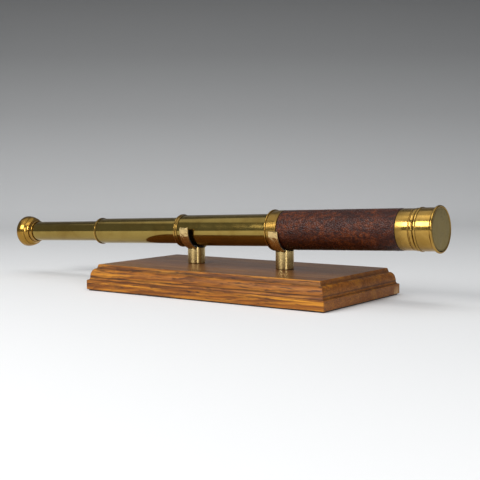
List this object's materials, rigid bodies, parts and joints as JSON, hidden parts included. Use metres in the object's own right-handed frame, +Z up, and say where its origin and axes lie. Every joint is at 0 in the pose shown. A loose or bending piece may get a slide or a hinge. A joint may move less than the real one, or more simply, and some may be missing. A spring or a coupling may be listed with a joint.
{
  "type": "three-draw telescope on a display stand",
  "caption": "Brass three-draw hand telescope with a leather-covered barrel, lying extended in two brass cradles on a moulded oak board.",
  "frame": {"origin": "middle of the stand's underside, on the table", "axes": "+X along the stand towards the objective end, +Z up, +Y to the back of the stand"},
  "size_m": [0.6828, 0.188, 0.1193],
  "materials": {
    "polished_brass": "polished",
    "tarnished_brass": "lacquered, slightly tarnished",
    "blackened_brass": "blackened matt",
    "oak": "waxed, open grain",
    "leather": "worn satin",
    "felt": "matt felt",
    "lens_glass": "polished"
  },
  "bodies": {
    "stand": {"plinth": "oak", "base_baize": "felt", "post_left": "polished_brass", "post_right": "polished_brass", "cradle_left": "polished_brass", "cradle_right": "polished_brass", "cradle_lining_left": "felt", "cradle_lining_right": "felt", "post_screw_left": "polished_brass", "post_screw_right": "polished_brass", "post_washer_left": "polished_brass", "post_washer_right": "polished_brass"},
    "barrel": {"barrel_tube": "tarnished_brass", "barrel_leather": "leather", "barrel_rear_collar": "polished_brass", "barrel_guide": "tarnished_brass", "barrel_front_ring": "polished_brass", "objective_cell": "polished_brass", "objective_flint": "lens_glass", "objective_crown": "lens_glass", "objective_retainer": "polished_brass"},
    "dust_cap": {"cap_shell": "polished_brass", "cap_disc": "polished_brass"},
    "draw_3": {"draw_3_tube": "tarnished_brass", "draw_3_collar": "polished_brass", "draw_3_guide": "tarnished_brass", "draw_3_stop": "tarnished_brass"},
    "draw_2": {"draw_2_tube": "tarnished_brass", "draw_2_collar": "polished_brass", "draw_2_guide": "tarnished_brass", "draw_2_stop": "tarnished_brass"},
    "draw_1": {"draw_1_tube": "tarnished_brass", "draw_1_stop": "tarnished_brass", "erector_tube": "blackened_brass", "erector_front_lens": "lens_glass", "erector_rear_lens": "lens_glass", "erector_front_retainer": "blackened_brass", "erector_rear_retainer": "blackened_brass", "erector_stop": "blackened_brass", "eyepiece_tube": "blackened_brass", "eye_lens": "lens_glass", "eye_lens_cell": "polished_brass", "field_lens": "lens_glass", "field_lens_retainer": "blackened_brass", "field_stop": "blackened_brass", "eye_bell": "polished_brass", "shutter_screw": "polished_brass"},
    "eye_shutter": {"eye_shutter": "polished_brass"}
  },
  "joints": [
    {"name": "telescope_lift", "type": "slide", "parent": "stand", "child": "barrel", "axis": [0, 0, 1], "range_m": [0, 0.12]},
    {"name": "cap_pull", "type": "slide", "parent": "barrel", "child": "dust_cap", "axis": [0.9992, 0, 0.0393], "range_m": [0, 0.04]},
    {"name": "draw_3_slide", "type": "slide", "parent": "barrel", "child": "draw_3", "axis": [0.9992, 0, 0.0393], "range_m": [0, 0.1424]},
    {"name": "draw_2_slide", "type": "slide", "parent": "draw_3", "child": "draw_2", "axis": [0.9992, 0, 0.0393], "range_m": [0, 0.145]},
    {"name": "draw_1_slide", "type": "slide", "parent": "draw_2", "child": "draw_1", "axis": [0.9992, 0, 0.0393], "range_m": [0, 0.1306]},
    {"name": "eye_shutter_swivel", "type": "hinge", "parent": "draw_1", "child": "eye_shutter", "pos_m": [-0.39963, 0, 0.07376], "axis": [0.9992, 0, 0.0393], "range_deg": [0, 80]}
  ]
}
